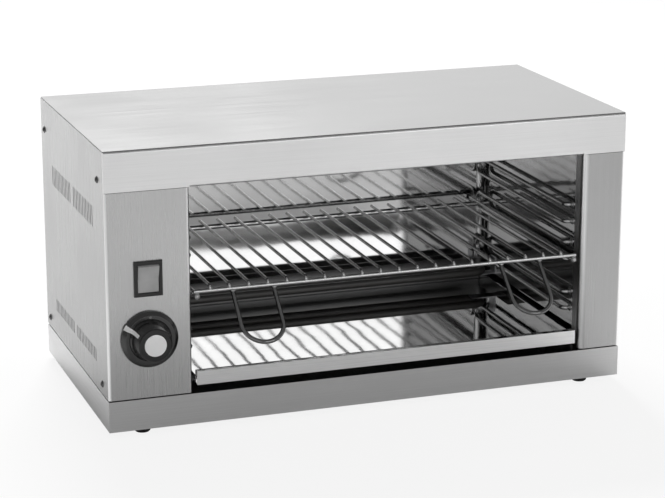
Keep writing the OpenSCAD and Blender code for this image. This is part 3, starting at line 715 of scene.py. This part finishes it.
def polished_steel(name, colour, roughness, wave_length, wave_height, dark_foot=None, lip=None):
    """Thin mirror-bright sheet, with long waves and a faint bloom from heat and wiping.
    Dark foot is the colour of a darker, duller band along the sheet's foot, the depth at which
    it starts and its height; lip the colour of the brushed front faces, whose lighter tone is
    partly painted light"""
    finish, tree, shader = start_finish(name)
    waves = noise(tree, pattern_space(tree, wave_length), detail=2, roughness=0.4)
    bloom = noise(tree, pattern_space(tree, BLOOM_SIZE), detail=5, roughness=0.6)
    tone = shades(tree, bloom, colour, low=0.93, high=1.03)
    gloss = between(tree, bloom, roughness * 0.7, roughness * 1.5)
    # Brushed front faces take the lip colour: partly their brushing, partly painted light
    if lip is not None:
        facing = parts_of(tree, add_node(tree, "ShaderNodeTexCoord").outputs["Normal"])
        brushed = combine(tree, "GREATER_THAN", unsigned(tree, facing["Y"]), 0.5)
        marks = noise(tree, pattern_space(tree, LIP_GRAIN), **BRUSH_NOISE)
        tone = blend_colours(tree, brushed, tone, shades(tree, marks, lip, low=0.92, high=1.08))
        dull = combine(tree, "MULTIPLY", brushed, LIP_ROUGHNESS)
        gloss = combine(tree, "MAXIMUM", gloss, dull)
    # A darker, duller band along the foot of the sheet
    if dark_foot is not None:
        foot_tone, depth, height = dark_foot
        place = parts_of(tree, pattern_space(tree, 1))
        uneven = combine(tree, "SUBTRACT", bloom, 0.5)
        uneven = combine(tree, "MULTIPLY", uneven, DARK_FOOT_WANDER)
        level = combine(tree, "ADD", place["Z"], uneven)
        foot = between(tree, level, 1, 0, height - DARK_FOOT_EDGE, height + DARK_FOOT_EDGE)
        back = combine(tree, "GREATER_THAN", place["Y"], depth)
        darker_share = combine(tree, "MULTIPLY", foot, back)
        tone = blend_colours(tree, darker_share, tone, foot_tone)
        dull = combine(tree, "MULTIPLY", darker_share, DARK_FOOT_ROUGHNESS)
        gloss = combine(tree, "MAXIMUM", gloss, dull)
    tree.links.new(tone, shader.inputs["Base Color"])
    tree.links.new(gloss, shader.inputs["Roughness"])
    relief(tree, shader, waves, wave_height)
    shader.inputs["Metallic"].default_value = 1
    return finish


def zinc_coat(name, colour):
    """Galvanised sheet with its crystal pattern"""
    finish, tree, shader = start_finish(name)
    crystals = add_node(tree, "ShaderNodeTexVoronoi")
    crystals.inputs["Scale"].default_value = 1.0
    tree.links.new(pattern_space(tree, CRYSTAL_SIZE), crystals.inputs["Vector"])
    patches = add_node(tree, "ShaderNodeSeparateColor")
    tree.links.new(crystals.outputs["Color"], patches.inputs["Color"])
    shine = patches.outputs["Red"]
    tone = shades(tree, shine, colour, low=0.86, high=1.1, start=0, end=1)
    tree.links.new(tone, shader.inputs["Base Color"])
    gloss = between(tree, shine, low=0.34, high=0.5, start=0, end=1)
    tree.links.new(gloss, shader.inputs["Roughness"])
    shader.inputs["Metallic"].default_value = 1
    return finish


def plated_metal(name, colour, roughness, speck=0.002, depth=0.00002):
    """Smooth plated metal with slight handling marks"""
    finish, tree, shader = start_finish(name)
    marks = noise(tree, pattern_space(tree, speck), detail=4, roughness=0.55)
    tone = shades(tree, marks, colour, low=0.88, high=1.06)
    tree.links.new(tone, shader.inputs["Base Color"])
    gloss = between(tree, marks, roughness * 0.75, roughness * 1.3)
    tree.links.new(gloss, shader.inputs["Roughness"])
    relief(tree, shader, marks, depth, strength=0.5)
    shader.inputs["Metallic"].default_value = 1
    return finish


def moulded(name, colour, roughness, speck=0.0005, depth=0.00002, gloss=0.5):
    """Moulded plastic, ceramic or rubber with a fine surface texture"""
    finish, tree, shader = start_finish(name)
    texture = noise(tree, pattern_space(tree, speck), detail=3, roughness=0.6)
    patches = noise(tree, pattern_space(tree, PATCH_SIZE), detail=3, roughness=0.5)
    tone = shades(tree, patches, colour, low=0.86, high=1.12)
    tree.links.new(tone, shader.inputs["Base Color"])
    dull = between(tree, patches, roughness * 0.85, roughness * 1.15)
    tree.links.new(dull, shader.inputs["Roughness"])
    relief(tree, shader, texture, depth, strength=0.6)
    shader.inputs["Specular IOR Level"].default_value = gloss
    return finish


def painted_marks(name, controls, centre):
    """Marks on the knob: a pointer filled with white past its start, and a dull dot over the
    Y axis through the centre"""
    finish, tree, shader = start_finish(name)
    place = parts_of(tree, pattern_space(tree, 1, centre))
    across, up = unsigned(tree, place["X"]), unsigned(tree, place["Z"])
    squares = [combine(tree, "MULTIPLY", side, side) for side in (across, up)]
    distance = combine(tree, "SQRT", combine(tree, "ADD", *squares), 0)
    filled = combine(tree, "GREATER_THAN", distance, controls.mark_start)
    dot = combine(tree, "LESS_THAN", across, controls.dot_reach)
    grain = noise(tree, pattern_space(tree, MARK_GRAIN), detail=3, roughness=0.6)
    white = shades(tree, grain, controls.mark_colour, low=0.9, high=1.08)
    pointer = blend_colours(tree, filled, controls.knob_colour, white)
    tone = blend_colours(tree, dot, pointer, controls.dot_colour)
    tree.links.new(tone, shader.inputs["Base Color"])
    gloss = between(tree, grain, low=0.38, high=0.52)
    tree.links.new(gloss, shader.inputs["Roughness"])
    relief(tree, shader, grain, depth=0.00001, strength=0.5)
    return finish


def turned_metal(name, colour, centre, roughness=0.34):
    """Disc with fine turned rings round the Y axis through its centre"""
    finish, tree, shader = start_finish(name)
    rings = add_node(
        tree,
        "ShaderNodeTexWave",
        wave_type="RINGS",
        rings_direction="Y",
        wave_profile="SIN",
    )
    rings.inputs["Scale"].default_value = 1.0
    rings.inputs["Distortion"].default_value = 0.6
    rings.inputs["Detail"].default_value = 3.0
    tree.links.new(pattern_space(tree, RING_SIZE, centre), rings.inputs["Vector"])
    grooves = rings.outputs["Fac"]
    tone = shades(tree, grooves, colour, low=0.95, high=1.03, start=0, end=1)
    tree.links.new(tone, shader.inputs["Base Color"])
    gloss = between(tree, grooves, roughness * 0.9, roughness * 1.15, start=0, end=1)
    tree.links.new(gloss, shader.inputs["Roughness"])
    relief(tree, shader, grooves, depth=0.00001, strength=0.3)
    shader.inputs["Metallic"].default_value = 1
    return finish


# New pieces


def bead(shape, centre, radii, unit=1.0, tilt=0.0):
    """A rounded weld bead with its radii in that unit, tilted about the X axis"""
    place = (
        Matrix.Translation(centre)
        @ Matrix.Rotation(tilt, 4, "X")
        @ Matrix.Diagonal((*(unit * radius for radius in radii), 1))
    )
    bmesh.ops.create_icosphere(shape, subdivisions=2, radius=1, matrix=place)


def finish_piece(shape, name, finish, body):
    """Turns a bmesh into a smooth piece that rides on a body"""
    mesh = bpy.data.meshes.new(name)
    bmesh.ops.recalc_face_normals(shape, faces=shape.faces)
    for face in shape.faces:
        face.smooth = True
    shape.to_mesh(mesh)
    shape.free()
    mesh.materials.append(finish)
    piece = bpy.data.objects.new(name, mesh)
    bpy.context.scene.collection.objects.link(piece)
    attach(piece, body)


# Operators


class GRILL_OT_cabinet(bpy.types.Operator):
    """Finishes the cabinet's brushed sheets"""

    bl_idname = "grill.cabinet"
    bl_label = "Finish cabinet"

    def execute(self, context):
        steel = context.scene.grill_steel
        along, across = steel.grain_length, steel.grain_width
        upright = (across, across, along)
        level = (along, along, across)
        flat = (along, across, along)
        rough = steel.roughness
        # The rail's light colour: partly its level brushing, partly a painted sheen
        wear(brushed_steel("rail_steel", steel.rail_sheen_colour, level, rough), "front_top_rail")
        # The cover's cut edge: partly a darker cut edge, partly a painted shadow line
        edge_shadow = ("Z", steel.edge_shadow_colour)
        cover = brushed_steel("cover_steel", steel.cover_colour, flat, rough - COVER_POLISH, edge_shadow)
        wear(cover, "top_cover")
        # The panels' sides turn darker: painted shade
        sides = ("Y", steel.side_shade_colour)
        # The upright bends take a painted highlight
        bends = steel.bend_highlight_colour
        smooth = rough - PANEL_POLISH
        for name, colour, node in (
            ("panel_steel", steel.panel_colour, "left_panel"),
            # The right stile's darker colour is painted shade
            ("stile_steel", steel.stile_shade_colour, "right_panel"),
        ):
            wear(brushed_steel(name, colour, upright, smooth, sides, bends), node)
        # The apron's sides turn lighter: painted light
        apron = ("Y", steel.apron_light_colour)
        wear(brushed_steel("base_steel", steel.base_colour, level, rough, apron), "base_pan")
        dull = rough + REAR_DULLNESS
        wear(brushed_steel("rear_steel", steel.panel_colour, level, dull), "rear_panel")
        return {"FINISHED"}


class GRILL_OT_cavity(bpy.types.Operator):
    """Finishes the polished liner, its roof, the tray and the tray rails"""

    bl_idname = "grill.cavity"
    bl_label = "Finish cavity"

    def execute(self, context):
        cavity = context.scene.grill_cavity
        long, high = cavity.wave_length, cavity.wave_height
        polish = cavity.liner_roughness
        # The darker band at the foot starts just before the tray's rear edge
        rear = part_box("crumb_tray")[1].y - DARK_FOOT_DEPTH
        dark_foot = (cavity.dark_foot_colour, rear, cavity.dark_foot_height)
        liner = polished_steel("liner_polish", cavity.liner_colour, polish, long, high, dark_foot)
        wear(liner, "cavity_liner")
        dark = [part * ROOF_SHADE for part in cavity.liner_colour]
        roof = polished_steel("roof_polish", dark, ROOF_ROUGHNESS * polish, long, high)
        wear(roof, "cavity_roof")
        tray = polished_steel(
            "tray_polish",
            cavity.tray_colour,
            cavity.tray_roughness,
            long,
            TRAY_WAVES * high,
            dark_foot,
            # Lip colour: partly its brushing, partly painted light
            cavity.lip_light_colour,
        )
        wear(tray, "crumb_tray")
        wear(zinc_coat("zinc", cavity.zinc_colour), "left_tray_rail", "right_tray_rail")
        return {"FINISHED"}


class GRILL_OT_wirework(bpy.types.Operator):
    """Finishes the rack, its handles and the guides, and adds their weld beads"""

    bl_idname = "grill.wirework"
    bl_label = "Finish wirework"

    def execute(self, context):
        wirework = context.scene.grill_wirework
        chrome = plated_metal("wire_chrome", wirework.wire_colour, roughness=0.2)
        weld = plated_metal(
            "weld_steel", wirework.weld_colour, roughness=0.36, speck=0.0012, depth=0.0002
        )
        # The handles' darker copy of the chrome is painted shade
        handles = plated_metal("handle_chrome", wirework.handle_shade_colour, roughness=0.12)
        guides = [
            f"{side}_{level}_guide"
            for side in ("left", "right")
            for level in ("lower", "middle", "upper")
        ]
        wear(chrome, "wire_rack", *guides)
        wear(handles, "rack_handles")
        self.weld_rack(wirework, weld)
        self.weld_handles(wirework, weld)
        self.weld_guides(wirework, weld, guides)
        return {"FINISHED"}

    def weld_rack(self, wirework, weld):
        """Beads where the rack's wires and rods cross"""
        low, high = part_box("wire_rack")
        wire_r, rod_r, bar_r = wirework.wire_d / 2, wirework.rod_d / 2, wirework.front_bar_d / 2
        rod_z = low.z + rod_r
        rod_top = rod_z + rod_r
        front = Vector((0, low.y + rod_r, rod_top + 2 * bar_r - wirework.weld_sink))
        rear = Vector((0, high.y - wirework.wire_tail, rod_top + 2 * rod_r - wirework.weld_sink))
        middle = (low.x + high.x) / 2
        shape = bmesh.new()
        for i in range(wirework.wires):
            x = middle + (i - (wirework.wires - 1) / 2) * wirework.wire_pitch
            across = Vector((x, 0, 0))
            bead(shape, front + across, FRONT_BEAD, wire_r)
            bead(shape, rear + across, REAR_BEAD, wire_r)
        for x in (low.x + rod_r, high.x - rod_r):
            for y in (front.y, rear.y):
                bead(shape, (x, y, rod_top), CORNER_BEAD, rod_r)
            bead(shape, (x, low.y, rod_z), ROD_END_BEAD, rod_r)
        finish_piece(shape, "rack_welds", weld, "rack")

    def weld_handles(self, wirework, weld):
        """Beads where the handle loops sit under the front bar"""
        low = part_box("wire_rack")[0]
        leg_low, leg_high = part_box("rack_handles")
        rod_r, bar_r = wirework.rod_d / 2, wirework.front_bar_d / 2
        tilt = wirework.handle_tilt
        bar_z = low.z + 2 * rod_r + bar_r - wirework.weld_sink
        bar_y = low.y + rod_r
        seat = Vector((0, math.sin(tilt), -math.cos(tilt))) * bar_r
        reach = (leg_high.x - leg_low.x) / 2 - wirework.handle_d / 2
        middle = (leg_low.x + leg_high.x) / 2
        shape = bmesh.new()
        for side in (-1, 1):
            outer = middle + side * reach
            for x in (outer, outer - side * wirework.handle_w):
                bead(shape, Vector((x, bar_y, bar_z)) + seat, HANDLE_BEAD, tilt=tilt)
        finish_piece(shape, "handle_welds", weld, "rack")

    def weld_guides(self, wirework, weld, guides):
        """Beads where the guides' front ends meet the cavity walls"""
        wire_r = wirework.guide_wire_d / 2
        shape = bmesh.new()
        for guide in guides:
            low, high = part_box(guide)
            wall_x = low.x if guide.startswith("left") else high.x
            for z in (low.z + wire_r, high.z - wire_r):
                bead(shape, (wall_x, low.y + wire_r, z), GUIDE_BEAD)
        finish_piece(shape, "guide_welds", weld, "cabinet")


class GRILL_OT_elements(bpy.types.Operator):
    """Finishes the heating elements and what holds them"""

    bl_idname = "grill.elements"
    bl_label = "Finish elements"

    def execute(self, context):
        oxide = moulded(
            "element_oxide", OXIDE_COLOUR, roughness=0.4, speck=0.0012, depth=0.0001, gloss=0.6
        )
        wear(oxide, "upper_element_front", "upper_element_rear", "lower_element")
        wear(moulded("ceramic_white", CERAMIC_COLOUR, roughness=0.4), "element_bushings")
        plate = plated_metal("terminal_plate", TERMINAL_COLOUR, roughness=0.28)
        wear(plate, "element_terminals", "spade_terminals")
        zinc = context.scene.grill_cavity.zinc_colour
        wear(zinc_coat("bracket_zinc", zinc), "element_brackets")
        return {"FINISHED"}


class GRILL_OT_knob(bpy.types.Operator):
    """Finishes the timer, its nut and shaft, and the knob with its skirt, cap and marks"""

    bl_idname = "grill.knob"
    bl_label = "Finish knob"

    def execute(self, context):
        controls = context.scene.grill_controls
        low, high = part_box("knob_cap")
        axis = (low + high) / 2
        grip = moulded(
            "knob_black", controls.knob_colour, roughness=0.16, speck=0.0004, depth=0.000006
        )
        wear(grip, "timer_knob")
        skirt = turned_metal("skirt_metal", controls.skirt_colour, axis, roughness=0.2)
        wear(skirt, "knob_skirt")
        wear(turned_metal("cap_silver", controls.cap_colour, axis), "knob_cap")
        wear(painted_marks("mark_white", controls, axis), "knob_marks")
        wear(moulded("timer_ivory", TIMER_COLOUR, roughness=0.45), "timer_body")
        wear(plated_metal("nut_plate", NUT_COLOUR, roughness=0.25), "timer_nut", "timer_shaft")
        return {"FINISHED"}


class GRILL_OT_switch(bpy.types.Operator):
    """Finishes the switch housing and its rocker"""

    bl_idname = "grill.switch"
    bl_label = "Finish switch"

    def execute(self, context):
        controls = context.scene.grill_controls
        wear(moulded("switch_black", controls.housing_colour, roughness=0.32), "switch_housing")
        wear(moulded("rocker_grey", controls.rocker_colour, roughness=0.3), "switch_rocker")
        return {"FINISHED"}


class GRILL_OT_inlet(bpy.types.Operator):
    """Finishes the cable gland, its locknut and the terminal block"""

    bl_idname = "grill.inlet"
    bl_label = "Finish inlet"

    def execute(self, context):
        nylon = moulded("gland_nylon", NYLON_COLOUR, roughness=0.42)
        wear(nylon, "cable_gland", "gland_locknut")
        wear(moulded("block_ivory", BLOCK_COLOUR, roughness=0.42), "terminal_block")
        return {"FINISHED"}


class GRILL_OT_fixings(bpy.types.Operator):
    """Finishes the screws and the rubber feet"""

    bl_idname = "grill.fixings"
    bl_label = "Finish fixings"

    def execute(self, context):
        screw = plated_metal("screw_steel", SCREW_COLOUR, roughness=0.3)
        wear(screw, "foot_screws", "side_screws", "rear_screws")
        rubber = moulded(
            "foot_rubber", RUBBER_COLOUR, roughness=0.75, speck=0.0006, depth=0.0001, gloss=0.35
        )
        wear(rubber, "rubber_feet")
        return {"FINISHED"}


class GRILL_OT_stage(bpy.types.Operator):
    """Makes the floor, the light and the camera"""

    bl_idname = "grill.stage"
    bl_label = "Make stage"

    def execute(self, context):
        stage = context.scene.grill_stage
        self.floor(context, stage)
        self.room(context, stage)
        self.softbox(context, "key_light", KEY_PLACE, KEY_SIZE, stage.key_level)
        self.softbox(context, "right_light", RIGHT_PLACE, RIGHT_SIZE, stage.right_level)
        self.softbox(context, "left_light", LEFT_PLACE, LEFT_SIZE, stage.left_level)
        self.camera(context, stage)
        context.scene.view_settings.view_transform = "Standard"
        return {"FINISHED"}

    def floor(self, context, stage):
        """A plain pale floor that keeps the grill's shadow"""
        shape = bmesh.new()
        bmesh.ops.create_grid(shape, x_segments=1, y_segments=1, size=stage.floor_size / 2)
        mesh = bpy.data.meshes.new("floor")
        shape.to_mesh(mesh)
        shape.free()
        floor = bpy.data.objects.new("floor", mesh)
        context.scene.collection.objects.link(floor)

        finish, tree, shader = start_finish("floor_white")
        grain = noise(tree, pattern_space(tree, FLOOR_GRAIN), detail=3, roughness=0.5)
        tone = shades(tree, grain, stage.floor_colour, low=0.98, high=1.02)
        tree.links.new(tone, shader.inputs["Base Color"])
        shader.inputs["Roughness"].default_value = 0.8
        shader.inputs["Specular IOR Level"].default_value = 0.1
        white = add_node(tree, "ShaderNodeEmission")
        white.inputs["Strength"].default_value = 1
        mix = add_node(tree, "ShaderNodeMixShader")
        share = self.seen_share(tree, stage.floor_glow, stage.floor_shine)
        tree.links.new(share, mix.inputs["Fac"])
        tree.links.new(shader.outputs["BSDF"], mix.inputs[1])
        tree.links.new(white.outputs["Emission"], mix.inputs[2])
        tree.links.new(mix.outputs["Shader"], tree.nodes["Material Output"].inputs["Surface"])
        mesh.materials.append(finish)

    def seen_share(self, tree, camera, metal):
        """One share for rays of the camera, one for rays of metal and clear pieces, else none"""
        path = add_node(tree, "ShaderNodeLightPath").outputs
        bounced = combine(tree, "MAXIMUM", path["Is Glossy Ray"], path["Is Transmission Ray"])
        return combine(
            tree,
            "MAXIMUM",
            combine(tree, "MULTIPLY", path["Is Camera Ray"], camera),
            combine(tree, "MULTIPLY", bounced, metal),
        )

    def room(self, context, stage):
        """Even light all round, brighter low down behind the grill and to its right"""
        world = bpy.data.worlds.new("room")
        world.use_nodes = True
        context.scene.world = world
        tree = world.node_tree
        room = tree.nodes["Background"]
        way = parts_of(tree, add_node(tree, "ShaderNodeTexCoord").outputs["Generated"])
        right = combine(tree, "MULTIPLY", way["X"], RIGHT_SHARE)
        behind = between(tree, combine(tree, "ADD", way["Y"], right), 0, 1, start=0, end=1)
        low = between(tree, way["Z"], 1, 0, start=LOW_ROOM, end=HIGH_ROOM)
        share = combine(tree, "MULTIPLY", behind, low)
        level = between(tree, share, stage.front_light, stage.back_light, start=0, end=1)
        tree.links.new(level, room.inputs["Strength"])
        room.inputs["Color"].default_value = (1, 1, 1, 1)

    def softbox(self, context, name, place, size, level):
        """A flat soft light of that brightness, turned to the grill"""
        light = bpy.data.lights.new(name, "AREA")
        light.shape = "RECTANGLE"
        light.size, light.size_y = size
        light.energy = math.pi * light.size * light.size_y * level
        box = bpy.data.objects.new(name, light)
        box.location = place
        box.rotation_euler = (-box.location).to_track_quat("-Z", "Y").to_euler()
        box.visible_camera = False
        context.scene.collection.objects.link(box)

    def camera(self, context, stage):
        """The camera at the photograph's viewing angle"""
        data = bpy.data.cameras.new("camera")
        data.sensor_width = SENSOR_WIDTH
        data.lens = stage.lens
        camera = bpy.data.objects.new("camera", data)
        camera.location = stage.camera_place
        camera.rotation_euler = Euler((math.pi / 2 - stage.camera_pitch, 0, -stage.camera_yaw))
        context.scene.collection.objects.link(camera)
        context.scene.camera = camera


class GRILL_PT_dressing(bpy.types.Panel):
    """Lists the steps and their values"""

    bl_label = "Salamander grill"
    bl_space_type = "VIEW_3D"
    bl_region_type = "UI"
    bl_category = "Grill"

    def draw(self, context):
        for name, steps in STEPS.items():
            box = self.layout.box()
            for step in steps:
                box.operator(step.bl_idname)
            group = getattr(context.scene, name, None)
            if group is not None:
                for value in group.__annotations__:
                    box.prop(group, value)


GROUPS = {
    "grill_steel": GrillSteel,
    "grill_cavity": GrillCavity,
    "grill_wirework": GrillWirework,
    "grill_controls": GrillControls,
    "grill_stage": GrillStage,
}
STEPS = {
    "grill_steel": (GRILL_OT_cabinet,),
    "grill_cavity": (GRILL_OT_cavity, GRILL_OT_elements),
    "grill_wirework": (GRILL_OT_wirework,),
    "grill_controls": (GRILL_OT_knob, GRILL_OT_switch),
    "grill_fixings": (GRILL_OT_inlet, GRILL_OT_fixings),
    "grill_stage": (GRILL_OT_stage,),
}
OPERATORS = [step for steps in STEPS.values() for step in steps]


def register():
    for group in (*GROUPS.values(), *OPERATORS, GRILL_PT_dressing):
        bpy.utils.register_class(group)
    for name, group in GROUPS.items():
        setattr(bpy.types.Scene, name, PointerProperty(type=group))


def unregister():
    for name in GROUPS:
        delattr(bpy.types.Scene, name)
    for group in (GRILL_PT_dressing, *reversed(OPERATORS), *GROUPS.values()):
        bpy.utils.unregister_class(group)


def main():
    register()
    bpy.ops.grill.cabinet()
    bpy.ops.grill.cavity()
    bpy.ops.grill.wirework()
    bpy.ops.grill.elements()
    bpy.ops.grill.knob()
    bpy.ops.grill.switch()
    bpy.ops.grill.inlet()
    bpy.ops.grill.fixings()
    bpy.ops.grill.stage()


if __name__ == "__main__":
    main()
